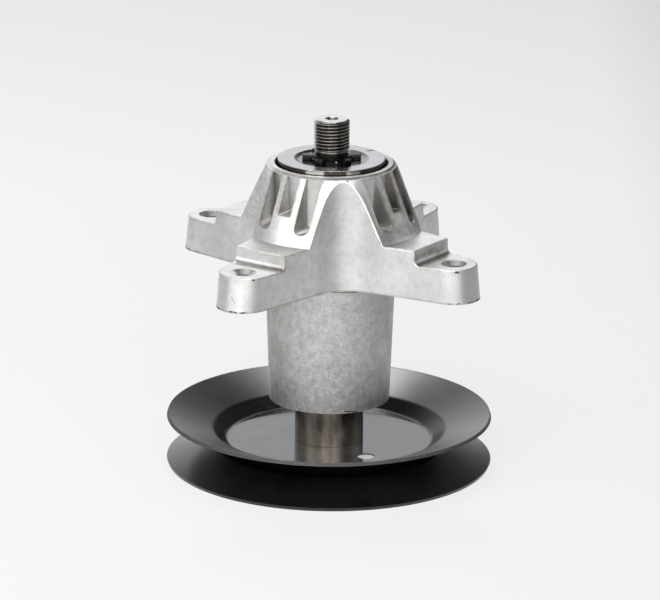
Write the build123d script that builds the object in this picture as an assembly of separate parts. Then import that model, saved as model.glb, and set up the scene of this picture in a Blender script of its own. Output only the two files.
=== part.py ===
from build123d import *
from math import cos, hypot, radians, sin, tan
import os

# Mower deck spindle, standing on its belt pulley with the blade end up.
# Origin on the axis at the pulley's lower rim, +Z along the shaft, millimetres throughout.

# Belt pulley: two pressed sheets back to back
pulley_d = 146.0
pulley_h = 22.4
sheet_t = 1.6
flange_slope = 20.0
web_below_groove = 2.5
wall_foot_r = 46.4
wall_top_r = 51.8
bend_r = 3.0
web_hole_d = 8.0
web_hole_r = 31.5
web_hole_azimuth = -58.0
lower_hole_extra = 4.0

# Shaft: one turning with a forged star for the blade
shaft_foot_z = 0.5
thread_d = 15.9
journal_d = 20.0
journal_foot_above_web = 2.0
star_h = 2.5
star_tip_r = 13.0
star_root_r = 8.6
star_tooth_w = 3.8
star_teeth = 6
star_turn = 3.5
neck_d = 14.8
neck_h = 3.1
stub_h = 13.2
shaft_bevel = 1.0
centre_hole_d = 3.2
centre_cone_d = 6.0
centre_cone_angle = 60.0
centre_hole_depth = 6.0

# Deep groove ball bearings, 20 x 47 x 14
bearing_d = 47.0
bearing_w = 14.0
ball_d = 7.938
ball_count = 8
ring_wall = 3.6
seal_seat_depth = 0.8
seal_t = 1.5
seal_set_back = 0.4
cage_wall = 2.3
cage_h = 9.4
ring_chamfer = 0.6

# Spacers, blade flange and nut
spacer_above_web = 20.7
outer_spacer_r = 15.4
spacer_nose_r = 13.2
spacer_nose_h = 1.4
inner_spacer_r = 13.2
bearing_gap = 73.8
flange_d = 48.0
flange_t = 4.5
flange_boss_r = 13.4
flange_boss_h = 3.4
flange_recess_r = 16.6
flange_recess_floor_r = 14.95
flange_recess_depth = 0.8
flange_bevel = 0.4
nut_flats = 24.0
nut_flange_r = 14.0
nut_flange_t = 1.6
nut_h = 6.2

# Housing: one aluminium die casting
hub_below_bearing = 1.1
hub_foot_r = 27.0
hub_draft = 2.0
arm_count = 4
first_arm_azimuth = -35.0
arms_below_rim = 50.9
arm_t = 15.4
step_h = 6.6
bolt_circle_r = 66.1
arm_end_r = 11.8
arm_end_lean = 1.7
arm_flare = 8.5
arm_draft = 1.5
valley_r = 15.0
step_reach = 54.0
step_foot_r = 2.5
upper_edge_r = 0.6
pad_edge_r = 0.5
cone_slope = 0.445
lip_h = 0.9
lip_w = 3.35
lip_ledge = 0.45
rim_top_w = 2.3
mouth_gap = 1.1
mouth_depth = 6.1
mouth_wall = 2.8
mouth_bevel = 0.3
screw_hole_d = 7.5
countersink_d = 11.4
bearing_shoulder = 3.0
seat_chamfer = 0.8
slot_top_gap = 0.1
side_slot_from = 6.4
side_slot_w = 7.0
side_slot_floor = 5.0
side_slot_round = 3.2
middle_slot_w = 6.6
middle_slot_floor = 11.8
middle_slot_round = 0.6

# Clearances between pieces, each on the radius
seat_clearance = 0.02
slip_clearance = 0.05
race_clearance = 0.2
pocket_clearance = 0.15
seal_clearance = 0.25

# How far the search for the housing's edges may miss a height, and how high its side edges climb
edge_search_gap = 0.05
edge_search_rise = 5.0

# Heights of the clamped stack, from the pulley up to the blade flange
web_joint_z = pulley_h / 2 - web_below_groove
web_top_z = web_joint_z + sheet_t
web_bottom_z = web_joint_z - sheet_t
lower_bearing_z = web_top_z + spacer_above_web
inner_spacer_z = lower_bearing_z + bearing_w
upper_bearing_z = inner_spacer_z + bearing_gap
upper_bearing_top_z = upper_bearing_z + bearing_w
flange_bottom_z = upper_bearing_top_z + flange_boss_h
flange_top_z = flange_bottom_z + flange_t
star_foot_z = flange_top_z - flange_recess_depth
star_top_z = star_foot_z + star_h
stub_foot_z = star_top_z + neck_h
shaft_top_z = stub_foot_z + stub_h

# Radii shared by pieces that fit each other
shaft_r = journal_d / 2
bearing_r = bearing_d / 2
thread_r = thread_d / 2
ring_bore_r = shaft_r + seat_clearance
slip_bore_r = shaft_r + slip_clearance
seat_r = bearing_r + seat_clearance
ball_r = ball_d / 2
race_r = ball_r + race_clearance
ball_circle_r = (shaft_r + bearing_r) / 2
inner_ring_shoulder_r = shaft_r + ring_wall
outer_ring_shoulder_r = bearing_r - ring_wall
seal_groove_r = outer_ring_shoulder_r + seal_seat_depth
cage_inner_r = ball_circle_r - cage_wall / 2
cage_outer_r = ball_circle_r + cage_wall / 2
through_bore_r = bearing_r - bearing_shoulder
mouth_r = flange_d / 2 + mouth_gap
slot_wall_r = mouth_r + mouth_wall
rim_top_r = mouth_r + rim_top_w
lip_r = mouth_r + lip_w
cone_top_r = lip_r + lip_ledge

# Heights of the housing
hub_foot_z = lower_bearing_z - hub_below_bearing
rim_top_z = upper_bearing_top_z + mouth_depth
lip_z = rim_top_z - lip_h
arm_bottom_z = rim_top_z - arms_below_rim
pad_top_z = arm_bottom_z + arm_t
step_top_z = pad_top_z + step_h
cone_foot_r = cone_top_r + cone_slope * (lip_z - step_top_z)
arm_azimuths = [first_arm_azimuth + 360 / arm_count * i for i in range(arm_count)]


def turned(*corners):
    """Solid of revolution about Z from the corners (radius, height) of its half section."""
    outline = Polyline(*corners, close=True)
    return revolve(Plane.XZ * make_face(outline), Axis.Z)


def drilled(radius, low, high):
    """Cylinder about Z between two heights."""
    return Pos(0, 0, low) * extrude(Circle(radius), high - low)


def pressed_sheet(corners):
    """Turned sheet of even thickness below the line through the corners, with rounded bends."""
    line = FilletPolyline(*corners, radius=bend_r)
    section = make_face(line.offset_2d(sheet_t, side=Side.RIGHT, closed=True))
    return revolve(Plane.XZ * section, Axis.Z)


def pulley_upper_sheet():
    """Dished half: flat web, steep wall and the upper flange of the belt groove."""
    slope = tan(radians(flange_slope))
    rim_r = pulley_d / 2 - sheet_t * sin(radians(flange_slope))
    wall_top_z = pulley_h - (rim_r - wall_top_r) * slope
    sheet = pressed_sheet([
        (thread_r + slip_clearance, web_top_z),
        (wall_foot_r, web_top_z),
        (wall_top_r, wall_top_z),
        (rim_r, pulley_h),
    ])
    return sheet - web_hole(web_hole_d)


def pulley_lower_sheet():
    """Flat-backed half with the lower flange of the belt groove, the other sheet turned over."""
    slope = tan(radians(flange_slope))
    rim_r = pulley_d / 2 - sheet_t * sin(radians(flange_slope))
    bend_at_r = rim_r - web_bottom_z / slope
    line = FilletPolyline(
        (thread_r + slip_clearance, web_bottom_z),
        (bend_at_r, web_bottom_z),
        (rim_r, 0),
        radius=bend_r,
    )
    section = make_face(line.offset_2d(sheet_t, side=Side.LEFT, closed=True))
    sheet = revolve(Plane.XZ * section, Axis.Z)
    return sheet - web_hole(web_hole_d + lower_hole_extra)


def web_hole(diameter):
    """Cutter for the hole through the pulley's web."""
    place = Rot(0, 0, web_hole_azimuth) * Pos(web_hole_r, 0, 0)
    return place * drilled(diameter / 2, web_bottom_z - sheet_t, web_top_z + sheet_t)


def star_tooth():
    """One straight-sided tooth of the blade star, with its flat end on the tip circle."""
    half = star_tooth_w / 2
    outline = Polyline((0, -half), (star_tip_r, -half), (star_tip_r, half), (0, half), close=True)
    return extrude(make_face(outline), star_h)


def star():
    """Six-point star that drives the blade."""
    body = extrude(Circle(star_root_r), star_h)
    for i in range(star_teeth):
        body += Rot(0, 0, 360 / star_teeth * i) * star_tooth()
    return Pos(0, 0, star_foot_z) * Rot(0, 0, star_turn) * body


def centre_hole():
    """Lathe centre in the stub's end: a cone that runs into a small drilled hole."""
    cone_r = centre_cone_d / 2
    hole_r = centre_hole_d / 2
    cone_h = (cone_r - hole_r) / tan(radians(centre_cone_angle / 2))
    bottom = shaft_top_z - centre_hole_depth
    return turned(
        (0, shaft_top_z),
        (cone_r, shaft_top_z),
        (hole_r, shaft_top_z - cone_h),
        (hole_r, bottom),
        (0, bottom - hole_r / tan(radians(centre_cone_angle))),
    )


def shaft():
    """Shaft with the pulley seat, bearing journal, blade star, neck and threaded stub."""
    journal_foot_z = web_top_z + journal_foot_above_web
    neck_r = neck_d / 2
    blank = turned(
        (0, shaft_foot_z),
        (thread_r - shaft_bevel, shaft_foot_z),
        (thread_r, shaft_foot_z + shaft_bevel),
        (thread_r, journal_foot_z - shaft_bevel),
        (shaft_r - shaft_bevel, journal_foot_z - shaft_bevel),
        (shaft_r, journal_foot_z),
        (shaft_r, star_foot_z + star_h / 2),
        (neck_r, star_top_z),
        (neck_r, stub_foot_z - (thread_r - neck_r)),
        (thread_r, stub_foot_z),
        (thread_r, shaft_top_z - shaft_bevel),
        (thread_r - shaft_bevel, shaft_top_z),
        (0, shaft_top_z),
    )
    return blank + star() - centre_hole()


def blade_flange():
    """Turned disc under the blade, with a boss down to the upper bearing's inner ring."""
    disc_r = flange_d / 2
    return turned(
        (slip_bore_r, upper_bearing_top_z),
        (flange_boss_r, upper_bearing_top_z),
        (flange_boss_r, flange_bottom_z),
        (disc_r - flange_bevel, flange_bottom_z),
        (disc_r, flange_bottom_z + flange_bevel),
        (disc_r, flange_top_z - flange_bevel),
        (disc_r - flange_bevel, flange_top_z),
        (flange_recess_r, flange_top_z),
        (flange_recess_floor_r, star_foot_z),
        (slip_bore_r, star_foot_z),
    )


def outer_spacer():
    """Tube from the pulley's web to the lower bearing's inner ring, with a thinner nose."""
    nose_z = lower_bearing_z - spacer_nose_h
    return turned(
        (slip_bore_r, web_top_z),
        (outer_spacer_r, web_top_z),
        (outer_spacer_r, nose_z),
        (spacer_nose_r, nose_z),
        (spacer_nose_r, lower_bearing_z),
        (slip_bore_r, lower_bearing_z),
    )


def inner_spacer():
    """Tube that holds the two inner rings apart inside the hub."""
    return drilled(inner_spacer_r, inner_spacer_z, upper_bearing_z) - drilled(
        slip_bore_r, inner_spacer_z, upper_bearing_z
    )


def pulley_nut():
    """Hexagon nut with a round flange, under the pulley's web."""
    foot_z = web_bottom_z - nut_h
    flange_z = web_bottom_z - nut_flange_t
    hexagon = Pos(0, 0, foot_z) * extrude(RegularPolygon(nut_flats / 2, 6, major_radius=False), nut_h)
    flange = drilled(nut_flange_r, flange_z, web_bottom_z)
    return hexagon + flange - drilled(thread_r + slip_clearance, foot_z, web_bottom_z)


def ball_places(z):
    """Where the balls of one bearing lie at rest, each with its own X pointing outwards."""
    step = 360 / ball_count
    return [Pos(0, 0, z) * Rot(0, 0, step * i) * Pos(ball_circle_r, 0, 0) for i in range(ball_count)]


def race(z):
    """Cutter for the ball grooves of both rings."""
    return Pos(0, 0, z) * Torus(ball_circle_r, race_r)


def outer_ring(z):
    """Bearing outer ring from its lower face at z, with a seal seat at each side."""
    seat_depth = seal_set_back + seal_t
    top = z + bearing_w
    ring = turned(
        (seal_groove_r, z),
        (bearing_r - ring_chamfer, z),
        (bearing_r, z + ring_chamfer),
        (bearing_r, top - ring_chamfer),
        (bearing_r - ring_chamfer, top),
        (seal_groove_r, top),
        (seal_groove_r, top - seat_depth),
        (outer_ring_shoulder_r, top - seat_depth),
        (outer_ring_shoulder_r, z + seat_depth),
        (seal_groove_r, z + seat_depth),
    )
    return ring - race(z + bearing_w / 2)


def inner_ring(z):
    """Bearing inner ring from its lower face at z."""
    ring = drilled(inner_ring_shoulder_r, z, z + bearing_w)
    return ring - drilled(ring_bore_r, z, z + bearing_w) - race(z + bearing_w / 2)


def cage(z):
    """Ball cage: a ring with one pocket drilled through the wall for each ball."""
    middle = z + bearing_w / 2
    low = middle - cage_h / 2
    high = middle + cage_h / 2
    ring = drilled(cage_outer_r, low, high) - drilled(cage_inner_r, low, high)
    pocket = Rot(0, 90, 0) * Cylinder(ball_r + pocket_clearance, 2 * (cage_outer_r - cage_inner_r))
    for place in ball_places(middle):
        ring -= place * pocket
    return ring


def balls(z):
    """The loose balls of one bearing, as one group."""
    return Compound(children=[place * Sphere(ball_r) for place in ball_places(z + bearing_w / 2)])


def seal(low):
    """Flat rubber seal in the outer ring's seat, clear of the inner ring."""
    high = low + seal_t
    return drilled(seal_groove_r, low, high) - drilled(inner_ring_shoulder_r + seal_clearance, low, high)


def bearing(name, z):
    """All pieces of one bearing, by node name."""
    return {
        f"{name}_outer_ring": outer_ring(z),
        f"{name}_inner_ring": inner_ring(z),
        f"{name}_cage": cage(z),
        f"{name}_balls": balls(z),
        f"{name}_bottom_seal": seal(z + seal_set_back),
        f"{name}_top_seal": seal(z + bearing_w - seal_set_back - seal_t),
    }


def star_outline(z):
    """Plan of the four arms at height z: round ends, flared walls and round valleys between."""
    flare = radians(arm_flare)
    half_pitch = radians(180 / arm_count)
    draft = (z - arm_bottom_z) * tan(radians(arm_draft))
    end_at = bolt_circle_r - arm_end_lean * (z - arm_bottom_z) / arm_t
    wall_reach = arm_end_r + bolt_circle_r * sin(flare) - draft
    end_r = wall_reach - end_at * sin(flare)
    valley_at = (arm_end_r + bolt_circle_r * sin(flare) + valley_r) / sin(half_pitch + flare)
    valley_now = valley_r + draft
    end_tangent = Vector(end_at + end_r * sin(flare), end_r * cos(flare), z)
    tip = Vector(end_at + end_r, 0, z)
    valley_tangent = Vector(
        valley_at * cos(half_pitch) - valley_now * sin(flare),
        valley_at * sin(half_pitch) - valley_now * cos(flare),
        z,
    )
    valley_mid = Vector((valley_at - valley_now) * cos(half_pitch), (valley_at - valley_now) * sin(half_pitch), z)
    pitch = 360 / arm_count
    edges = []
    for azimuth in arm_azimuths:
        next_tangent = Vector(valley_tangent.X, -valley_tangent.Y, z).rotate(Axis.Z, azimuth + pitch)
        far_tangent = Vector(end_tangent.X, -end_tangent.Y, z).rotate(Axis.Z, azimuth)
        near_valley = Vector(valley_tangent.X, -valley_tangent.Y, z).rotate(Axis.Z, azimuth)
        near_tangent = end_tangent.rotate(Axis.Z, azimuth)
        own_valley = valley_tangent.rotate(Axis.Z, azimuth)
        edges.append(Edge.make_line(near_valley, far_tangent))
        edges.append(Edge.make_three_point_arc(far_tangent, tip.rotate(Axis.Z, azimuth), near_tangent))
        edges.append(Edge.make_line(near_tangent, own_valley))
        edges.append(Edge.make_three_point_arc(own_valley, valley_mid.rotate(Axis.Z, azimuth), next_tangent))
    return Wire(edges)


def arm_pads():
    """Lower part of the arms, whose round ends lean in towards the top."""
    return Solid.make_loft([star_outline(arm_bottom_z), star_outline(pad_top_z)], ruled=True)


def raised_arms():
    """Drafted block over the arms, up to the rim of the mouth, before it is cut to its steps."""
    plan = Face(star_outline(pad_top_z))
    return Solid.extrude_taper(plan, (0, 0, rim_top_z - pad_top_z), arm_draft)


def step_limit():
    """Cross of two blocks that ends the raised part of each arm at the step."""
    reach = 2 * step_reach
    cross = Sketch()
    for azimuth in arm_azimuths[:arm_count // 2]:
        cross += Rot(0, 0, azimuth) * Rectangle(reach, step_reach)
    return Pos(0, 0, pad_top_z) * extrude(cross, rim_top_z - pad_top_z)


def cone_limit():
    """Turned envelope of the raised part: step tops, the slotted cone and the mouth's rim."""
    past_arms = 2 * step_reach
    return turned(
        (0, pad_top_z),
        (past_arms, pad_top_z),
        (past_arms, step_top_z),
        (cone_foot_r, step_top_z),
        (cone_top_r, lip_z),
        (lip_r, lip_z),
        (rim_top_r, rim_top_z),
        (0, rim_top_z),
    )


def hub():
    """Drafted tube below the arms, solid until the bores are cut."""
    top_z = arm_bottom_z + arm_t / 2
    top_r = hub_foot_r + (top_z - hub_foot_z) * tan(radians(hub_draft))
    return turned((0, hub_foot_z), (hub_foot_r, hub_foot_z), (top_r, top_z), (0, top_z))


def level_edges(body, z, near_r, far_r):
    """Edges of a body that lie level at height z, with their middle between two radii."""
    found = []
    for edge in body.edges():
        box = edge.bounding_box()
        middle = edge.center()
        off_level = max(abs(box.min.Z - z), abs(box.max.Z - z))
        if off_level < edge_search_gap and near_r < hypot(middle.X, middle.Y) < far_r:
            found.append(edge)
    return found


def cone_edges(body):
    """Edges where the arms' walls and valleys cut the cone, from the steps to below the lip."""
    found = []
    for edge in body.edges():
        box = edge.bounding_box()
        middle = edge.center()
        climbs = box.min.Z > step_top_z - edge_search_gap and box.max.Z > step_top_z + edge_search_rise
        below_lip = box.max.Z < lip_z - edge_search_gap
        if climbs and below_lip and hypot(middle.X, middle.Y) > cone_top_r + edge_search_gap:
            found.append(edge)
    return found


def rounded(body):
    """Housing blank with the rounds of the mould: upper edges, foot of the steps, rim of the pads."""
    inside_r = step_reach - edge_search_rise / 2
    outside_r = step_reach + edge_search_rise / 2
    past_arms = 2 * step_reach
    upper = cone_edges(body) + level_edges(body, step_top_z, cone_foot_r + upper_edge_r, outside_r)
    body = body.fillet(upper_edge_r, upper)
    body = body.fillet(step_foot_r, level_edges(body, pad_top_z, inside_r, outside_r))
    return body.fillet(pad_edge_r, level_edges(body, pad_top_z, outside_r, past_arms))


def slot(centre_t, width, floor_z, round_r):
    """Upright slot beside an arm's axis, from the cone's face in to the round back wall."""
    top_z = lip_z - slot_top_gap
    section = Pos(centre_t, (floor_z + top_z) / 2) * Rectangle(width, top_z - floor_z)
    section = fillet(section.vertices().group_by(Axis.Y)[0], round_r)
    block = extrude(Plane.YZ * section, 2 * step_reach)
    return block - drilled(slot_wall_r, step_top_z, rim_top_z)


def arm_slots():
    """The three slots over one arm."""
    side_t = side_slot_from + side_slot_w / 2
    side_floor_z = step_top_z + side_slot_floor
    middle_floor_z = step_top_z + middle_slot_floor
    return [
        slot(-side_t, side_slot_w, side_floor_z, side_slot_round),
        slot(0, middle_slot_w, middle_floor_z, middle_slot_round),
        slot(side_t, side_slot_w, side_floor_z, side_slot_round),
    ]


def screw_hole():
    """Cored screw hole through an arm's pad, with a countersunk mouth."""
    hole_r = screw_hole_d / 2
    sink_r = countersink_d / 2
    return Pos(bolt_circle_r, 0, 0) * turned(
        (0, arm_bottom_z),
        (hole_r, arm_bottom_z),
        (hole_r, pad_top_z - (sink_r - hole_r)),
        (sink_r, pad_top_z),
        (0, pad_top_z),
    )


def hub_bores():
    """Bearing seats at both ends, the bore between them and the mouth above."""
    lower_shoulder_z = lower_bearing_z + bearing_w
    upper_shoulder_z = upper_bearing_z
    return turned(
        (0, hub_foot_z),
        (seat_r + seat_chamfer, hub_foot_z),
        (seat_r, hub_foot_z + seat_chamfer),
        (seat_r, lower_shoulder_z),
        (through_bore_r, lower_shoulder_z),
        (through_bore_r, upper_shoulder_z),
        (seat_r, upper_shoulder_z),
        (seat_r, upper_bearing_top_z),
        (mouth_r, upper_bearing_top_z),
        (mouth_r, rim_top_z - mouth_bevel),
        (mouth_r + mouth_bevel, rim_top_z),
        (0, rim_top_z),
    )


def housing():
    """Die-cast housing: hub tube, four stepped arms and the slotted cone round the mouth."""
    raised = raised_arms() & step_limit() & cone_limit()
    body = rounded((arm_pads() + raised + hub()).solid())
    cutters = [hub_bores()]
    for azimuth in arm_azimuths:
        turn = Rot(0, 0, azimuth)
        cutters.append(turn * screw_hole())
        cutters += [turn * cutter for cutter in arm_slots()]
    for cutter in cutters:
        body -= cutter
    return body


def all_pieces():
    """Every node of the spindle by name."""
    pieces = {
        "housing": housing(),
        "shaft": shaft(),
        "blade_flange": blade_flange(),
        "inner_spacer": inner_spacer(),
        "outer_spacer": outer_spacer(),
        "pulley_upper_sheet": pulley_upper_sheet(),
        "pulley_lower_sheet": pulley_lower_sheet(),
        "pulley_nut": pulley_nut(),
    }
    pieces.update(bearing("lower_bearing", lower_bearing_z))
    pieces.update(bearing("upper_bearing", upper_bearing_z))
    return pieces


os.makedirs("parts", exist_ok=True)
for node, piece in all_pieces().items():
    export_step(piece, f"parts/{node}.step")
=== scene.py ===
from math import cos, pi, radians, sin, tan

import bpy
from mathutils import Matrix, Vector


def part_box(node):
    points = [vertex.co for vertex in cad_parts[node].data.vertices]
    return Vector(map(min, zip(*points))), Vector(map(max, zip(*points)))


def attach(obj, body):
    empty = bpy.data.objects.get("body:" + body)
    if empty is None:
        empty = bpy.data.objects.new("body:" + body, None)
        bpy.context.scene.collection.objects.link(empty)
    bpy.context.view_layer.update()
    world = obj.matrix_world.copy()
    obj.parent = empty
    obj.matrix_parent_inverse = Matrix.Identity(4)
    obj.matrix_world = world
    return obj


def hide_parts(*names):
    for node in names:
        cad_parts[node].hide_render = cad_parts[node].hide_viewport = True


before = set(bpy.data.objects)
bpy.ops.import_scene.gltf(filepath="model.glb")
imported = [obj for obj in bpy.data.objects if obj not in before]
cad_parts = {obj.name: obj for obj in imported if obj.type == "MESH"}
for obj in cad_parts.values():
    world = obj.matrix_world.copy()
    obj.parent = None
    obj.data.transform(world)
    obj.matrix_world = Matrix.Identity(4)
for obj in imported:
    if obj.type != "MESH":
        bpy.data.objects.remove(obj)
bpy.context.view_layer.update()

MM = 0.001

# Pulley nut
# A hexagon nut with a round flange, cold formed from steel and zinc plated. It screws on
# the shaft's lower end and clamps pulley, spacers and inner rings together.


def new_material(name, roughness=0.5, metallic=1.0):
    """Material with its principled shader and its object-space coordinate."""
    material = bpy.data.materials.new(name)
    material.use_nodes = True
    nodes = material.node_tree.nodes
    shader = nodes["Principled BSDF"]
    shader.inputs["Metallic"].default_value = metallic
    shader.inputs["Roughness"].default_value = roughness
    coordinate = nodes.new("ShaderNodeTexCoord")
    return material, shader, coordinate.outputs["Object"]


def join(material, output, *inputs):
    """Link one output to each of the inputs."""
    for socket in inputs:
        material.node_tree.links.new(output, socket)


def climb(material, value, start, stop):
    """0 at start and 1 at stop, straight between them; start may be the larger."""
    node = material.node_tree.nodes.new("ShaderNodeMapRange")
    node.inputs["From Min"].default_value = start
    node.inputs["From Max"].default_value = stop
    join(material, value, node.inputs["Value"])
    return node.outputs[0]


def noise(material, place, scale, detail=4.0, stretch=(1, 1, 1), offset=(0, 0, 0), roughness=0.55):
    """Noise in object space, with its pattern stretched along the axes."""
    nodes = material.node_tree.nodes
    mapping = nodes.new("ShaderNodeMapping")
    mapping.inputs["Scale"].default_value = stretch
    mapping.inputs["Location"].default_value = offset
    texture = nodes.new("ShaderNodeTexNoise")
    texture.inputs["Scale"].default_value = scale
    texture.inputs["Detail"].default_value = detail
    texture.inputs["Roughness"].default_value = roughness
    join(material, place, mapping.inputs["Vector"])
    join(material, mapping.outputs["Vector"], texture.inputs["Vector"])
    return texture.outputs["Fac"]


def ramp(material, factor, stops):
    """Colour ramp from a list of (place, colour) stops."""
    node = material.node_tree.nodes.new("ShaderNodeValToRGB")
    while len(node.color_ramp.elements) < len(stops):
        node.color_ramp.elements.new(0.5)
    for element, (place, colour) in zip(node.color_ramp.elements, stops):
        element.position = place
        element.color = (*colour, 1)
    join(material, factor, node.inputs["Fac"])
    return node.outputs["Color"]


def soft_edges(material, radius):
    """Normal that rounds the edges off by a radius."""
    node = material.node_tree.nodes.new("ShaderNodeBevel")
    node.samples = 4
    node.inputs["Radius"].default_value = radius
    return node.outputs["Normal"]


def bump(material, shader, height, distance, normal=None):
    """Bump on a shader from a height output, over a given normal."""
    node = material.node_tree.nodes.new("ShaderNodeBump")
    node.inputs["Distance"].default_value = distance
    join(material, height, node.inputs["Height"])
    if normal:
        join(material, normal, node.inputs["Normal"])
    join(material, node.outputs[0], shader.inputs["Normal"])


def finish_node(name, material):
    """Give a piece of the frame its finish."""
    piece = bpy.data.objects[name]
    piece.data.materials.clear()
    piece.data.materials.append(material)


zinc_steel, zinc, place = new_material("zinc_steel")
zinc_cloud = noise(zinc_steel, place, 260, 6)
zinc_grain = noise(zinc_steel, place, 1800, 3)
zinc_colour = ramp(zinc_steel, zinc_cloud, [(0.35, (0.44, 0.45, 0.47)), (0.62, (0.66, 0.67, 0.69))])
join(zinc_steel, zinc_colour, zinc.inputs["Base Color"])
join(zinc_steel, climb(zinc_steel, zinc_cloud, -0.7, 1.9), zinc.inputs["Roughness"])
bump(zinc_steel, zinc, zinc_grain, 0.02 * MM, soft_edges(zinc_steel, 0.3 * MM))
finish_node("pulley_nut", zinc_steel)

# Belt pulley, two pressed halves
# Discs of 1.6 mm steel sheet, pressed, set back to back and dipped in black paint. The web
# is glossy, the flanges are satin, and the belt and handling wore the upper rim to metal.
pulley_top_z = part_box("pulley_upper_sheet")[1].z
pulley_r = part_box("pulley_upper_sheet")[1].x
web_z = 10.3 * MM
web_hole_x = 16.69 * MM
web_hole_y = -26.71 * MM
web_hole_lit_r = 6.6 * MM
dish_foot_r = 45 * MM
dish_top_r = 53 * MM


def math_node(material, operation, first, second=0.0, third=0.0):
    """One arithmetic step on numbers or outputs."""
    node = material.node_tree.nodes.new("ShaderNodeMath")
    node.operation = operation
    for socket, value in zip(node.inputs, (first, second, third)):
        if isinstance(value, bpy.types.NodeSocket):
            join(material, value, socket)
        else:
            socket.default_value = value
    return node.outputs[0]


def product(material, first, *others):
    """Masks or numbers multiplied: of masks, 1 only where all of them are 1."""
    for other in others:
        first = math_node(material, "MULTIPLY", first, other)
    return first


def coordinates(material, place):
    """Object-space X, Y, Z and the distance from the shaft's axis."""
    split = material.node_tree.nodes.new("ShaderNodeSeparateXYZ")
    join(material, place, split.inputs[0])
    x, y, z = split.outputs
    square = math_node(material, "MULTIPLY_ADD", y, y, product(material, x, x))
    return x, y, z, math_node(material, "SQRT", square)


def band(material, value, low, high, edge):
    """1 between low and high, falling to 0 over the given edge on both sides."""
    rise = climb(material, value, low - edge, low)
    fall = climb(material, value, high + edge, high)
    return product(material, rise, fall)


def blend(material, factor, first, second, kind="MIX"):
    """Mix of two colours; each may be a colour or an output, the factor a number or an output."""
    node = material.node_tree.nodes.new("ShaderNodeMix")
    node.data_type = "RGBA"
    node.blend_type = kind
    for socket, value in ((node.inputs[0], factor), (node.inputs[6], first), (node.inputs[7], second)):
        if isinstance(value, bpy.types.NodeSocket):
            join(material, value, socket)
        elif isinstance(value, tuple):
            socket.default_value = (*value, 1)
        else:
            socket.default_value = value
    return node.outputs[2]


black_paint, paint, place = new_material("black_paint", metallic=0.0)
paint.inputs["IOR"].default_value = 1.75
x, y, z, radius = coordinates(black_paint, place)
paint_cloud = noise(black_paint, place, 45, 5)
paint_peel = noise(black_paint, place, 900, 2)
paint_dust = noise(black_paint, place, 2600, 2, roughness=0.7)
dust_patch = noise(black_paint, place, 120, 3, offset=(3, 1, 2))
paint_colour = ramp(black_paint, paint_cloud, [(0.3, (0.003, 0.003, 0.0035)), (0.7, (0.007, 0.007, 0.008))])
dust_specks = climb(black_paint, paint_dust, 0.70, 0.76)
dust = product(black_paint, dust_specks, climb(black_paint, dust_patch, 0.52, 0.66))
paint_colour = blend(black_paint, dust, paint_colour, (0.10, 0.085, 0.07))
web_gloss = climb(black_paint, radius, dish_foot_r - 1 * MM, dish_foot_r + 3 * MM)
web_haze = product(
    black_paint,
    math_node(black_paint, "SUBTRACT", 1.0, web_gloss),
    climb(black_paint, dust_patch, 0.30, 0.72),
)
paint_colour = blend(black_paint, web_haze, paint_colour, (0.045, 0.045, 0.048))
rim_edge = product(
    black_paint,
    band(black_paint, z, pulley_top_z - 1.2 * MM, pulley_top_z + 1 * MM, 0.4 * MM),
    climb(black_paint, radius, pulley_r - 1.1 * MM, pulley_r - 0.4 * MM),
)
rim_chips = noise(black_paint, place, 700, 5, roughness=0.7)
rim_chipped = math_node(black_paint, "MULTIPLY_ADD", climb(black_paint, rim_chips, 0.50, 0.66), 0.8, 0.2)
rim_wear = product(black_paint, rim_edge, rim_chipped)
paint_colour = blend(black_paint, rim_wear, paint_colour, (0.055, 0.052, 0.047))
# Painted light: the walls of the web's hole below the web are made bright bare steel, standing in for the
# bright table seen through the hole.
hole_place = black_paint.node_tree.nodes.new("ShaderNodeVectorMath")
hole_place.operation = "DISTANCE"
hole_place.inputs[1].default_value = (web_hole_x, web_hole_y, web_z - 2 * MM)
join(black_paint, place, hole_place.inputs[0])
hole_painted_light = product(
    black_paint,
    climb(black_paint, hole_place.outputs["Value"], web_hole_lit_r + 0.2 * MM, web_hole_lit_r),
    climb(black_paint, z, web_z - 0.6 * MM, web_z - 0.9 * MM),
)
paint_colour = blend(black_paint, hole_painted_light, paint_colour, (0.66, 0.65, 0.63))
# Metallic where the rim is worn to metal, and on the hole's painted-light walls.
wear_and_hole_light = math_node(black_paint, "MAXIMUM", product(black_paint, rim_wear, 0.25), hole_painted_light)
join(black_paint, paint_colour, paint.inputs["Base Color"])
join(black_paint, wear_and_hole_light, paint.inputs["Metallic"])
flange_satin = climb(black_paint, paint_cloud, 0.2, 0.8)
paint_roughness = math_node(
    black_paint, "MULTIPLY_ADD", web_gloss,
    math_node(black_paint, "MULTIPLY_ADD", flange_satin, 0.06, 0.17), 0.085,
)
paint_roughness = math_node(black_paint, "MULTIPLY_ADD", dust, 0.3, paint_roughness)
rim_roughness = math_node(black_paint, "MULTIPLY_ADD", rim_edge, 0.40, paint_roughness)
join(black_paint, rim_roughness, paint.inputs["Roughness"])
dish_wall = band(black_paint, radius, dish_foot_r + 1.5 * MM, dish_top_r - 0.5 * MM, 1 * MM)
lower_half = climb(black_paint, z, web_z - 0.5 * MM, web_z - 2 * MM)
in_shade = math_node(black_paint, "MAXIMUM", dish_wall, product(black_paint, lower_half, 0.45))
paint_gloss = math_node(black_paint, "MULTIPLY_ADD", in_shade, -0.38, 0.5)
join(black_paint, paint_gloss, paint.inputs["Specular IOR Level"])
bump(black_paint, paint, paint_peel, 0.006 * MM, soft_edges(black_paint, 0.12 * MM))
finish_node("pulley_lower_sheet", black_paint)
finish_node("pulley_upper_sheet", black_paint)

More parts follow.
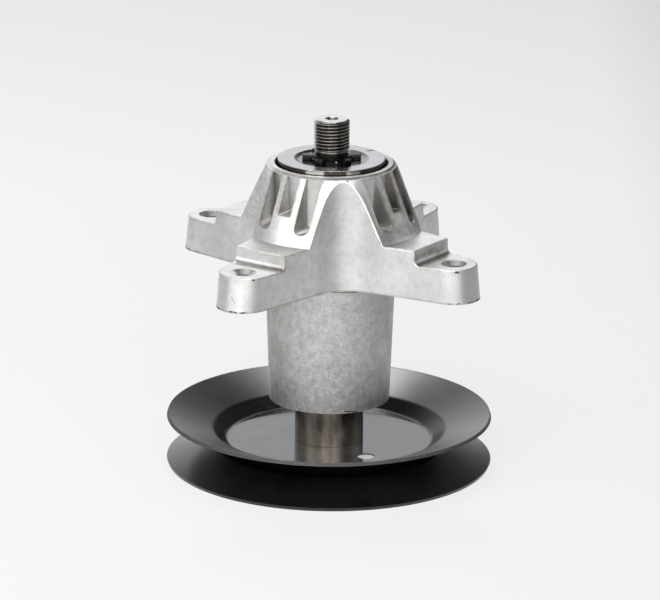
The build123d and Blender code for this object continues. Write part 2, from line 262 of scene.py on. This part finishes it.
# Spacers
# Two lengths of steel tube, cut and faced on a lathe and oiled brown. One stands between
# the pulley and the lower bearing, the other holds the two inner rings apart in the hub.
tube_steel, tube, place = new_material("tube_steel")
tube_cloud = noise(tube_steel, place, 130, 5, stretch=(1, 1, 0.45))
tube_streak = noise(tube_steel, place, 500, 4, stretch=(1, 1, 0.12))
tube_turning = noise(tube_steel, place, 900, 3, stretch=(0.05, 0.05, 1))
tube_colour = ramp(tube_steel, tube_cloud, [
    (0.32, (0.16, 0.135, 0.11)), (0.52, (0.30, 0.26, 0.22)), (0.72, (0.44, 0.39, 0.33)),
])
tube_bright = climb(tube_steel, tube_streak, 0.52, 0.95)
tube_colour = blend(tube_steel, tube_bright, tube_colour, (0.56, 0.51, 0.45))
join(tube_steel, tube_colour, tube.inputs["Base Color"])
join(tube_steel, climb(tube_steel, tube_cloud, -0.25, 2.3), tube.inputs["Roughness"])
tube_relief = math_node(tube_steel, "MULTIPLY_ADD", tube_streak, 0.6, tube_turning)
bump(tube_steel, tube, tube_relief, 0.035 * MM, soft_edges(tube_steel, 0.3 * MM))
finish_node("outer_spacer", tube_steel)
finish_node("inner_spacer", tube_steel)

# Ball bearings
# Two sealed deep groove bearings: ground rings and balls of chromium steel, a pressed steel
# cage, and rubber seals in the outer rings. They are pressed into the ends of the hub.
bearing_steel, ring, place = new_material("bearing_steel")
ring_grinding = noise(bearing_steel, place, 1500, 3, stretch=(0.06, 0.06, 1))
ring_haze = noise(bearing_steel, place, 160, 4)
ring_colour = ramp(bearing_steel, ring_haze, [(0.35, (0.56, 0.56, 0.57)), (0.65, (0.70, 0.70, 0.70))])
join(bearing_steel, ring_colour, ring.inputs["Base Color"])
join(bearing_steel, climb(bearing_steel, ring_haze, -0.5, 2.6), ring.inputs["Roughness"])
bump(bearing_steel, ring, ring_grinding, 0.008 * MM)

cage_steel, cage, place = new_material("cage_steel", 0.4)
cage_cloud = noise(cage_steel, place, 500, 5)
cage_colour = ramp(cage_steel, cage_cloud, [(0.35, (0.34, 0.32, 0.29)), (0.65, (0.52, 0.50, 0.46))])
join(cage_steel, cage_colour, cage.inputs["Base Color"])
bump(cage_steel, cage, cage_cloud, 0.02 * MM)

seal_rib_pitch = 1.6 * MM
seal_rubber, rubber, place = new_material("seal_rubber", 0.6, 0.0)
x, y, z, radius = coordinates(seal_rubber, place)
rubber_skin = noise(seal_rubber, place, 1400, 4)
rubber_dust = noise(seal_rubber, place, 200, 5, offset=(1, 4, 2))
rubber_ribs = math_node(seal_rubber, "SINE", product(seal_rubber, radius, 2 * pi / seal_rib_pitch))
rubber_colour = ramp(seal_rubber, rubber_dust, [(0.4, (0.012, 0.012, 0.013)), (0.75, (0.045, 0.040, 0.036))])
join(seal_rubber, rubber_colour, rubber.inputs["Base Color"])
bump(seal_rubber, rubber, math_node(seal_rubber, "MULTIPLY_ADD", rubber_skin, 0.3, rubber_ribs), 0.06 * MM)

for bearing_name in ("lower_bearing", "upper_bearing"):
    finish_node(f"{bearing_name}_outer_ring", bearing_steel)
    finish_node(f"{bearing_name}_inner_ring", bearing_steel)
    finish_node(f"{bearing_name}_balls", bearing_steel)
    finish_node(f"{bearing_name}_cage", cage_steel)
    finish_node(f"{bearing_name}_top_seal", seal_rubber)
    finish_node(f"{bearing_name}_bottom_seal", seal_rubber)

# Housing
# One aluminium die casting: hub tube, four drafted arms with stepped tops, and the slotted
# cone round the mouth. The skin of the mould is left as cast, mottled and grainy on the hub.
arm_foot_z = 88 * MM
arm_end_r = 66 * MM
step_z = 110 * MM
saddle_side_x = 20 * MM
hub_shade_start_x = 14 * MM
hub_shade_full_x = 27 * MM
hub_low_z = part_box("housing")[0].z


def streak(material, place, start, stop, width, edge):
    """1 within a width of the line from start to stop, both in mm, and 0 past its edge."""
    nodes = material.node_tree.nodes
    start = Vector(start) * MM
    run = Vector(stop) * MM - start
    offset = nodes.new("ShaderNodeVectorMath")
    offset.operation = "SUBTRACT"
    offset.inputs[1].default_value = start
    along = nodes.new("ShaderNodeVectorMath")
    along.operation = "DOT_PRODUCT"
    along.inputs[1].default_value = run / run.length_squared
    foot = nodes.new("ShaderNodeVectorMath")
    foot.operation = "SCALE"
    foot.inputs[0].default_value = run
    gap = nodes.new("ShaderNodeVectorMath")
    gap.operation = "DISTANCE"
    join(material, place, offset.inputs[0])
    join(material, offset.outputs["Vector"], along.inputs[0], gap.inputs[0])
    join(material, climb(material, along.outputs["Value"], 0, 1), foot.inputs["Scale"])
    join(material, foot.outputs["Vector"], gap.inputs[1])
    return climb(material, gap.outputs["Value"], (width + edge) * MM, width * MM)


def streaks(material, place, lines):
    """The strongest of several streaks."""
    strongest = streak(material, place, *lines[0])
    for line in lines[1:]:
        strongest = math_node(material, "MAXIMUM", strongest, streak(material, place, *line))
    return strongest


def hollows(material, distance, inside=False):
    """1 in corners and pockets, or on outer edges if inside is set, and 0 on open faces."""
    node = material.node_tree.nodes.new("ShaderNodeAmbientOcclusion")
    node.samples = 6
    node.inside = inside
    node.inputs["Distance"].default_value = distance
    return math_node(material, "SUBTRACT", 1.0, node.outputs["AO"])


def stain_and_shade(material, colour, where, share, tint):
    """A colour with a share of a tint where the mask says; used both for stains and for painted shade."""
    return blend(material, product(material, where, share), colour, tint)


cast_aluminium, cast, place = new_material("cast_aluminium")
x, y, z, radius = coordinates(cast_aluminium, place)
cast_cloud = noise(cast_aluminium, place, 70, 5, roughness=0.6)
cast_flow = noise(cast_aluminium, place, 300, 6, offset=(2, 5, 1), roughness=0.7)
cast_mottle = noise(cast_aluminium, place, 1100, 4, roughness=0.7)
cast_grain = noise(cast_aluminium, place, 2400, 3)
hub_skin = climb(cast_aluminium, z, arm_foot_z + 1 * MM, arm_foot_z - 1 * MM)
arm_colour = ramp(cast_aluminium, cast_cloud, [
    (0.30, (0.60, 0.59, 0.58)), (0.48, (0.70, 0.695, 0.685)), (0.70, (0.79, 0.79, 0.785)),
])
arm_cloud = climb(cast_aluminium, cast_flow, 0.47, 0.66)
arm_colour = stain_and_shade(cast_aluminium, arm_colour, arm_cloud, 0.55, (0.50, 0.48, 0.46))
hub_colour = ramp(cast_aluminium, cast_flow, [
    (0.34, (0.44, 0.43, 0.42)), (0.50, (0.54, 0.53, 0.52)), (0.66, (0.64, 0.63, 0.62)),
])
hub_specks = climb(cast_aluminium, cast_mottle, 0.50, 0.72)
hub_colour = stain_and_shade(cast_aluminium, hub_colour, hub_specks, 0.6, (0.27, 0.26, 0.245))
# Painted shade: the hub is darkened in patches towards its left and right sides, where the arms keep the
# lamps' light off it.
hub_side = climb(cast_aluminium, math_node(cast_aluminium, "ABSOLUTE", x), hub_shade_start_x, hub_shade_full_x)
hub_side_shade = product(cast_aluminium, hub_side, climb(cast_aluminium, cast_cloud, 0.20, 0.62))
hub_colour = stain_and_shade(cast_aluminium, hub_colour, hub_side_shade, 0.62, (0.20, 0.185, 0.17))
cast_colour = blend(cast_aluminium, hub_skin, arm_colour, hub_colour)
# Painted shade: the right side of the cone above the steps is darkened, in patches.
cone_skin = climb(cast_aluminium, z, step_z + 0.5 * MM, step_z + 2 * MM)
cone_right = climb(cast_aluminium, x, saddle_side_x, saddle_side_x + 5 * MM)
cone_right_shade = product(cast_aluminium, cone_skin, cone_right, climb(cast_aluminium, cast_flow, 0.10, 0.60))
cast_colour = stain_and_shade(cast_aluminium, cast_colour, cone_right_shade, 0.62, (0.26, 0.24, 0.215))
cone_left = climb(cast_aluminium, x, -saddle_side_x + 4 * MM, -saddle_side_x - 2 * MM)
cone_spots = product(cast_aluminium, cone_skin, cone_left, climb(cast_aluminium, cast_mottle, 0.44, 0.66))
cast_colour = stain_and_shade(cast_aluminium, cast_colour, cone_spots, 0.38, (0.30, 0.285, 0.27))
# Painted shade: faces that look straight up are darkened a little.
facing = cast_aluminium.node_tree.nodes.new("ShaderNodeSeparateXYZ")
join(cast_aluminium, place.node.outputs["Normal"], facing.inputs[0])
shaded_tops = climb(cast_aluminium, facing.outputs[2], 0.93, 0.99)
cast_colour = stain_and_shade(cast_aluminium, cast_colour, shaded_tops, 0.20, (0.36, 0.35, 0.34))
step_stains = streaks(cast_aluminium, place, [
    ((-40.5, -42.6, 104.6), (-20.2, -52.7, 104.6), 0.9, 1.3),
    ((37.3, -46.4, 106.5), (51.7, -24.0, 106.5), 2.6, 1.6),
])
step_dirt = product(cast_aluminium, step_stains, climb(cast_aluminium, cast_flow, 0.25, 0.60))
cast_colour = stain_and_shade(cast_aluminium, cast_colour, step_dirt, 0.66, (0.25, 0.22, 0.18))
# Corners and pockets darkened: dirt in the hollows, and painted shade there too.
hollow_dirt_and_shade = climb(cast_aluminium, hollows(cast_aluminium, 6 * MM), 0.22, 0.75)
cast_colour = stain_and_shade(cast_aluminium, cast_colour, hollow_dirt_and_shade, 0.55, (0.20, 0.18, 0.155))
cast_edges = climb(cast_aluminium, hollows(cast_aluminium, 1.2 * MM, inside=True), 0.05, 0.28)
# Outer edges darkened in patches: some dirt, and painted shade that dims the lamps' glare along the edges.
edge_dirt_and_shade = product(cast_aluminium, cast_edges, climb(cast_aluminium, cast_flow, 0.10, 0.62))
cast_colour = stain_and_shade(cast_aluminium, cast_colour, edge_dirt_and_shade, 0.60, (0.26, 0.245, 0.23))
nick_noise = noise(cast_aluminium, place, 330, 5, offset=(4, 2, 7), roughness=0.72)
nick_line = band(cast_aluminium, z, arm_foot_z - 1 * MM, arm_foot_z + 0.8 * MM, 0.7 * MM)
nick_reach = climb(cast_aluminium, radius, arm_end_r - 6 * MM, arm_end_r)
nick_patch = streaks(cast_aluminium, place, [
    ((-49.7, -57.3, 88.4), (-39.9, -68.1, 88.4), 3.0, 2.0),
    ((55.0, -51.5, 88.4), (65.3, -40.6, 88.4), 3.0, 2.0),
    ((-66.2, 34.6, 88.4), (-58.9, 24.4, 88.4), 3.0, 2.0),
])
nick_cut = climb(cast_aluminium, product(cast_aluminium, nick_line, nick_noise), 0.48, 0.54)
nicks = product(cast_aluminium, nick_line, nick_reach, nick_patch, nick_cut)
foot_line = band(cast_aluminium, z, hub_low_z - 1 * MM, hub_low_z + 0.5 * MM, 0.4 * MM)
foot_nicks = product(cast_aluminium, foot_line, climb(cast_aluminium, nick_noise, 0.57, 0.63))
dents = streaks(cast_aluminium, place, [
    ((-34.0, -63.6, 102.7), (-32.6, -64.2, 102.6), 0.32, 0.25),
    ((54.4, -48.2, 102.5), (56.2, -48.6, 102.5), 0.38, 0.25),
    ((42.4, 57.2, 103.2), (44.2, 56.4, 103.4), 0.30, 0.25),
    ((6.9, -28.2, 137.6), (7.3, -28.1, 137.6), 0.22, 0.20),
    ((-42.9, -63.9, 95.2), (-41.2, -64.9, 92.4), 0.05, 0.12),
    ((0.8, -29.0, 87.1), (6.1, -28.3, 86.9), 0.08, 0.22),
    ((6.1, -28.3, 86.9), (11.4, -26.6, 86.5), 0.10, 0.25),
    ((7.1, -26.1, 30.9), (12.4, -23.9, 30.1), 0.25, 0.35),
])
marks = math_node(cast_aluminium, "MAXIMUM", nicks, math_node(cast_aluminium, "MAXIMUM", foot_nicks, dents))
cast_colour = blend(cast_aluminium, marks, cast_colour, (0.035, 0.020, 0.014))
join(cast_aluminium, cast_colour, cast.inputs["Base Color"])
join(cast_aluminium, math_node(cast_aluminium, "SUBTRACT", 1.0, marks), cast.inputs["Metallic"])
cast_roughness = math_node(cast_aluminium, "MULTIPLY_ADD", cast_flow, 0.22, 0.25)
cast_roughness = math_node(cast_aluminium, "MULTIPLY_ADD", cast_edges, 0.22, cast_roughness)
cast_roughness = math_node(cast_aluminium, "MULTIPLY_ADD", hub_skin, 0.08, cast_roughness)
join(cast_aluminium, cast_roughness, cast.inputs["Roughness"])
mottle_height = math_node(cast_aluminium, "MULTIPLY_ADD", hub_skin, 2.0, 0.7)
mottle_relief = product(cast_aluminium, cast_mottle, mottle_height)
cast_relief = math_node(cast_aluminium, "MULTIPLY_ADD", cast_grain, 0.35, mottle_relief)
bump(cast_aluminium, cast, cast_relief, 0.05 * MM)
finish_node("housing", cast_aluminium)

# Shaft
# One steel shaft, turned to the seats of pulley and bearings, with a forged six-point star
# for the blade and a threaded stub above it. The star kept its black scale.
shaft_low, shaft_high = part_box("shaft")
shaft_foot_z = shaft_low.z / MM
shaft_top_z = shaft_high.z / MM
thread_r = 7.95
thread_root_r = 7.08
thread_root_w = 0.2
thread_pitch = 1.5
thread_turns = 10
thread_steps = 64
thread_half_angle = radians(30)
thread_run_out = 0.3
cutter_r = 8.15
journal_r = 10
journal_foot_z = 12.3
shaft_bevel = 1
star_top_z = 142.4
star_h = 2.5
star_root_r = 8.6
star_tip_r = 13
star_from_r = 6
star_tooth_w = 3.8
star_teeth = 6
star_turn = 3.5
star_edge = 0.22
neck_r = 7.4
stub_foot_z = 145.5
centre_cone_r = 3
centre_cone_half_angle = radians(30)
centre_hole_r = 1.6
centre_hole_depth = 6
centre_cone_foot_z = shaft_top_z - (centre_cone_r - centre_hole_r) / tan(centre_cone_half_angle)
centre_hole_foot_z = shaft_top_z - centre_hole_depth
drill_point_h = centre_hole_r * tan(radians(30))
turning_steps = 96
weld_gap = 0.001 * MM


def draw_profile(name, corners):
    """Line through the corners (radius, height), drawn in millimetres by extruding one vertex."""
    bpy.ops.object.select_all(action="DESELECT")
    bpy.ops.mesh.primitive_plane_add(size=1 * MM, location=(0, 0, 0))
    piece = bpy.context.object
    piece.name = name
    bpy.ops.object.mode_set(mode="EDIT")
    bpy.ops.mesh.select_all(action="SELECT")
    bpy.ops.mesh.merge(type="CENTER")
    last_r, last_z = corners[0]
    bpy.ops.transform.translate(value=(last_r * MM, 0, last_z * MM))
    for corner_r, corner_z in corners[1:]:
        step = ((corner_r - last_r) * MM, 0, (corner_z - last_z) * MM)
        bpy.ops.mesh.extrude_region_move(TRANSFORM_OT_translate={"value": step})
        last_r, last_z = corner_r, corner_z
    return piece


def close_up():
    """Merge doubles, close what is open and turn the faces outwards, in edit mode."""
    bpy.ops.mesh.select_all(action="SELECT")
    bpy.ops.mesh.remove_doubles(threshold=weld_gap)
    bpy.ops.mesh.fill_holes(sides=0)
    bpy.ops.mesh.select_all(action="SELECT")
    bpy.ops.mesh.normals_make_consistent(inside=False)
    bpy.ops.object.mode_set(mode="OBJECT")


def combine(piece, other, operation):
    """Boolean of a piece with another, which is used up."""
    bpy.ops.object.select_all(action="DESELECT")
    piece.select_set(True)
    bpy.context.view_layer.objects.active = piece
    cut = piece.modifiers.new(operation, "BOOLEAN")
    cut.operation = operation
    cut.solver = "EXACT"
    cut.object = other
    bpy.ops.object.modifier_apply(modifier=cut.name)
    bpy.data.objects.remove(other)


blade_shaft = draw_profile("blade_shaft", [
    (0, shaft_foot_z),
    (thread_r - shaft_bevel, shaft_foot_z),
    (thread_r, shaft_foot_z + shaft_bevel),
    (thread_r, journal_foot_z - shaft_bevel),
    (journal_r - shaft_bevel, journal_foot_z - shaft_bevel),
    (journal_r, journal_foot_z),
    (journal_r, star_top_z - star_h / 2),
    (star_root_r, star_top_z - star_h / 4),
    (star_root_r, star_top_z - star_edge),
    (star_root_r - star_edge, star_top_z),
    (neck_r + star_edge, star_top_z),
    (neck_r, star_top_z + star_edge),
    (neck_r, stub_foot_z - (thread_r - neck_r)),
    (thread_r, stub_foot_z),
    (thread_r, shaft_top_z - shaft_bevel),
    (thread_r - shaft_bevel, shaft_top_z),
    (centre_cone_r, shaft_top_z),
    (centre_hole_r, centre_cone_foot_z),
    (centre_hole_r, centre_hole_foot_z),
    (0, centre_hole_foot_z - drill_point_h),
])
bpy.ops.mesh.select_all(action="SELECT")
bpy.ops.mesh.spin(steps=turning_steps, angle=2 * pi, center=(0, 0, 0), axis=(0, 0, 1))
close_up()

for tooth_number in range(star_teeth):
    tooth_angle = radians(star_turn + 360 / star_teeth * tooth_number)
    tooth_middle = (star_from_r + star_tip_r) / 2 * MM
    bpy.ops.object.select_all(action="DESELECT")
    bpy.ops.mesh.primitive_cube_add(
        size=1 * MM,
        location=(
            tooth_middle * cos(tooth_angle),
            tooth_middle * sin(tooth_angle),
            (star_top_z - star_h / 2) * MM,
        ),
        rotation=(0, 0, tooth_angle),
        scale=(star_tip_r - star_from_r, star_tooth_w, star_h),
    )
    tooth = bpy.context.object
    bpy.ops.object.transform_apply(location=True, rotation=True, scale=True)
    bpy.ops.object.mode_set(mode="EDIT")
    bpy.ops.mesh.select_all(action="SELECT")
    bpy.ops.mesh.bevel(offset=star_edge * MM, segments=2, affect="EDGES")
    bpy.ops.object.mode_set(mode="OBJECT")
    combine(blade_shaft, tooth, "UNION")

flank = (cutter_r - thread_root_r) * tan(thread_half_angle)
groove_foot_z = stub_foot_z - thread_run_out
thread_cutter = draw_profile("thread_cutter", [
    (thread_root_r, groove_foot_z - thread_root_w / 2),
    (cutter_r, groove_foot_z - thread_root_w / 2 - flank),
    (cutter_r, groove_foot_z + thread_root_w / 2 + flank),
    (thread_root_r, groove_foot_z + thread_root_w / 2),
    (thread_root_r, groove_foot_z - thread_root_w / 2),
])
bpy.ops.mesh.select_all(action="SELECT")
bpy.ops.mesh.remove_doubles(threshold=weld_gap)
bpy.ops.object.mode_set(mode="OBJECT")
thread_run = thread_cutter.modifiers.new("thread_run", "SCREW")
thread_run.axis = "Z"
thread_run.angle = 2 * pi
thread_run.screw_offset = thread_pitch * MM
thread_run.iterations = thread_turns
thread_run.steps = thread_steps
thread_run.render_steps = thread_steps
bpy.ops.object.modifier_apply(modifier=thread_run.name)
bpy.ops.object.mode_set(mode="EDIT")
close_up()
combine(blade_shaft, thread_cutter, "DIFFERENCE")
bpy.ops.object.shade_smooth_by_angle(angle=radians(30))

dark_steel, dark, place = new_material("dark_steel")
x, y, z, radius = coordinates(dark_steel, place)
steel_cloud = noise(dark_steel, place, 300, 5)
steel_turning = noise(dark_steel, place, 1600, 3, stretch=(0.06, 0.06, 1))
scale_grain = noise(dark_steel, place, 1500, 5, roughness=0.7)
stub_colour = ramp(dark_steel, steel_cloud, [(0.35, (0.22, 0.21, 0.197)), (0.65, (0.40, 0.38, 0.355))])
# Thread roots darkened: dirt, and painted shade in the grooves.
thread_root = climb(dark_steel, radius, (thread_r - 0.25) * MM, (thread_root_r + 0.1) * MM)
above_neck = climb(dark_steel, z, (stub_foot_z - 0.6) * MM, stub_foot_z * MM)
below_end = climb(dark_steel, z, (shaft_top_z - 1.0) * MM, (shaft_top_z - 1.4) * MM)
root_dirt_and_shade = product(dark_steel, thread_root, above_neck, below_end)
stub_colour = blend(dark_steel, root_dirt_and_shade, stub_colour, (0.05, 0.045, 0.04))
end_face = climb(dark_steel, z, (shaft_top_z - 0.7) * MM, (shaft_top_z - 0.3) * MM)
stub_colour = blend(dark_steel, end_face, stub_colour, (0.60, 0.59, 0.58))
# Painted shade: the inside of the centre hole in the shaft's end is darkened.
below_face = climb(dark_steel, z, (shaft_top_z - 0.05) * MM, (shaft_top_z - 0.3) * MM)
in_cone = climb(dark_steel, radius, (centre_cone_r + 0.2) * MM, centre_cone_r * MM)
centre_hole = product(dark_steel, below_face, in_cone)
stub_colour = blend(dark_steel, centre_hole, stub_colour, (0.10, 0.09, 0.08))
star_colour = ramp(dark_steel, scale_grain, [
    (0.35, (0.008, 0.007, 0.007)), (0.60, (0.028, 0.026, 0.024)), (0.75, (0.18, 0.17, 0.16)),
])
# Painted highlights: bright lines on the corners of the front teeth, where lamps would catch them.
star_corner_glints = streaks(dark_steel, place, [
    ((-4.9, -10.3, 142.4), (-4.9, -10.5, 140.2), 0.25, 0.2),
    ((6.2, -9.9, 142.4), (6.3, -10.1, 140.2), 0.25, 0.2),
    ((1.9, -9.4, 141.6), (2.1, -9.5, 141.0), 0.25, 0.2),
])
star_scale = band(dark_steel, z, (star_top_z - 3) * MM, (star_top_z + 1.6) * MM, 0.8 * MM)
star_colour = blend(dark_steel, star_corner_glints, star_colour, (0.75, 0.75, 0.75))
steel_colour = blend(dark_steel, star_scale, stub_colour, star_colour)
join(dark_steel, steel_colour, dark.inputs["Base Color"])
steel_roughness = math_node(dark_steel, "MULTIPLY_ADD", star_corner_glints, 0.25, 0.18)
steel_roughness = math_node(dark_steel, "MULTIPLY_ADD", star_scale, 0.16, steel_roughness)
join(dark_steel, steel_roughness, dark.inputs["Roughness"])
steel_relief = math_node(dark_steel, "MULTIPLY_ADD", scale_grain, star_scale, steel_turning)
bump(dark_steel, dark, steel_relief, 0.02 * MM, soft_edges(dark_steel, 0.14 * MM))
blade_shaft.data.materials.clear()
blade_shaft.data.materials.append(dark_steel)
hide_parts("shaft")
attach(blade_shaft, "spindle")

# Blade flange
# A disc turned from bright steel, with a shallow recess for the star in its top and a boss
# underneath that stands on the upper bearing. The shaft's star holds it down.
flange_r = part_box("blade_flange")[1].x
flange_recess_r = 16.6 * MM
bright_steel, polish, place = new_material("bright_steel")
x, y, z, radius = coordinates(bright_steel, place)
ring_place = bright_steel.node_tree.nodes.new("ShaderNodeCombineXYZ")
join(bright_steel, radius, ring_place.inputs[0])
join(bright_steel, z, ring_place.inputs[2])
turning_rings = noise(bright_steel, ring_place.outputs[0], 2600, 3, roughness=0.7)
disc_cloud = noise(bright_steel, place, 150, 5)
disc_colour = ramp(bright_steel, disc_cloud, [(0.35, (0.40, 0.40, 0.41)), (0.65, (0.47, 0.47, 0.485))])
# Painted reflection: the disc's rim is dark, with two painted glints at its front.
disc_rim = climb(bright_steel, radius, flange_r - 0.25 * MM, flange_r - 0.05 * MM)
rim_painted_glints = streaks(bright_steel, place, [
    ((-9.6, -22.0, 139.4), (-5.2, -23.4, 139.4), 1.2, 1.2),
    ((8.4, -22.5, 139.4), (11.0, -21.3, 139.4), 1.2, 1.2),
])
rim_painted_reflection = blend(bright_steel, rim_painted_glints, (0.06, 0.05, 0.042), (0.50, 0.48, 0.45))
disc_colour = blend(bright_steel, disc_rim, disc_colour, rim_painted_reflection)
# Painted reflection: the recess is darkened where the dark star is mirrored in it.
disc_recess = climb(bright_steel, radius, flange_recess_r + 0.3 * MM, flange_recess_r - 0.1 * MM)
disc_colour = blend(bright_steel, disc_recess, disc_colour, (0.22, 0.21, 0.20))
disc_chip = streak(bright_steel, place, (16.4, 12.4, 140.7), (18.2, 13.2, 140.7), 0.9, 0.3)
disc_colour = blend(bright_steel, disc_chip, disc_colour, (0.02, 0.018, 0.016))
join(bright_steel, disc_colour, polish.inputs["Base Color"])
join(bright_steel, math_node(bright_steel, "SUBTRACT", 1.0, disc_chip), polish.inputs["Metallic"])
join(bright_steel, climb(bright_steel, disc_cloud, -0.25, 3.0), polish.inputs["Roughness"])
bump(bright_steel, polish, turning_rings, 0.004 * MM, soft_edges(bright_steel, 0.25 * MM))
finish_node("blade_flange", bright_steel)

# Floor, light and camera
# A lit white table, a small lamp high behind the part, two large soft ones in front of it and
# at its left, and the walls of the studio, bright behind and dark in front.
floor_size = 12
picture_width = 660
focal_pixels = 5000
shift_x_pixels = -0.3
shift_y_pixels = -11.3
film_width = 36
aim_height = 80 * MM
camera_down = 16.74
camera_roll = 0.565
camera_distance = 2235 * MM


def grey(value):
    """Neutral colour of one brightness."""
    return (value, value, value)


bpy.ops.object.select_all(action="DESELECT")
bpy.ops.mesh.primitive_plane_add(size=floor_size, location=(0, 0, 0))
floor = bpy.context.object
floor.name = "floor"
paper, sheet, place = new_material("paper", 0.9, 0.0)
x, y, z, radius = coordinates(paper, place)
# The table's brightness is its own glow: painted light, brightest round the part and falling off behind it
# and to the sides.
paper_far = ramp(paper, climb(paper, y, -0.6, 1.0), [
    (0.0, grey(0.55)), (0.20, grey(0.95)), (0.65, grey(0.92)), (1.0, grey(0.80)),
])
paper_side = ramp(paper, climb(paper, x, -0.6, 0.6), [
    (0.0, grey(0.45)), (0.32, grey(0.85)), (0.63, grey(0.79)), (0.82, grey(0.34)), (1.0, grey(0.28)),
])
paper_light = blend(paper, 1.0, paper_far, paper_side, "MULTIPLY")
sheet.inputs["Base Color"].default_value = (*grey(0.12), 1)
sheet.inputs["Specular IOR Level"].default_value = 0.0
sheet.inputs["Emission Strength"].default_value = 1.0
join(paper, paper_light, sheet.inputs["Emission Color"])
floor.data.materials.append(paper)


def soft_lamp(name, azimuth, elevation, distance, size, power):
    """Area lamp that looks at the part from an azimuth and an elevation."""
    lamp = bpy.data.lights.new(name, "AREA")
    lamp.size = size
    lamp.energy = power
    lamp_object = bpy.data.objects.new(name, lamp)
    bpy.context.collection.objects.link(lamp_object)
    target = Vector((0, 0, aim_height))
    direction = Vector((
        cos(radians(elevation)) * cos(radians(azimuth)),
        cos(radians(elevation)) * sin(radians(azimuth)),
        sin(radians(elevation)),
    ))
    lamp_object.location = target + direction * distance
    lamp_object.rotation_euler = direction.to_track_quat("Z", "Y").to_euler()


soft_lamp("back_lamp", 93, 55, 1.8, 0.55, 12)
soft_lamp("left_lamp", 228, 30, 2.0, 2.4, 34)
soft_lamp("front_lamp", 276, 30, 2.2, 2.3, 50)

studio = bpy.data.worlds.new("studio")
bpy.context.scene.world = studio
studio.use_nodes = True
studio_nodes = studio.node_tree.nodes
studio_place = studio_nodes.new("ShaderNodeTexCoord")
studio_split = studio_nodes.new("ShaderNodeSeparateXYZ")
join(studio, studio_place.outputs["Generated"], studio_split.inputs[0])
studio_turn = math_node(studio, "ARCTAN2", studio_split.outputs[1], studio_split.outputs[0])
studio_walls = ramp(studio, climb(studio, studio_turn, -pi, pi), [
    (0.0, grey(0.45)), (0.13, grey(0.30)), (0.25, grey(0.03)), (0.42, grey(0.14)), (0.55, grey(0.64)),
    (0.64, grey(0.14)), (0.675, grey(0.05)), (0.71, grey(0.28)), (0.738, grey(0.82)), (0.77, grey(0.97)),
    (0.82, grey(1.0)), (0.93, grey(0.52)), (1.0, grey(0.45)),
])
studio_height = ramp(studio, studio_split.outputs[2], [
    (0.0, (0.96, 0.975, 1.0)), (0.36, (0.96, 0.975, 1.0)), (0.52, grey(0.58)), (0.78, grey(0.14)),
    (1.0, grey(0.04)),
])
studio_light = studio_nodes["Background"]
join(studio, blend(studio, 1.0, studio_walls, studio_height, "MULTIPLY"), studio_light.inputs["Color"])
studio_light.inputs["Strength"].default_value = 1.32
bpy.context.scene.view_settings.view_transform = "Standard"

camera_data = bpy.data.cameras.new("camera")
camera_data.sensor_width = film_width
camera_data.lens = film_width * focal_pixels / picture_width
camera_data.shift_x = shift_x_pixels / picture_width
camera_data.shift_y = shift_y_pixels / picture_width
camera = bpy.data.objects.new("camera", camera_data)
bpy.context.collection.objects.link(camera)
stand = Vector((
    0,
    -camera_distance * cos(radians(camera_down)),
    aim_height + camera_distance * sin(radians(camera_down)),
))
tilt = Matrix.Rotation(radians(90 - camera_down), 4, "X") @ Matrix.Rotation(radians(camera_roll), 4, "Z")
camera.matrix_world = Matrix.Translation(stand) @ tilt
bpy.context.scene.camera = camera
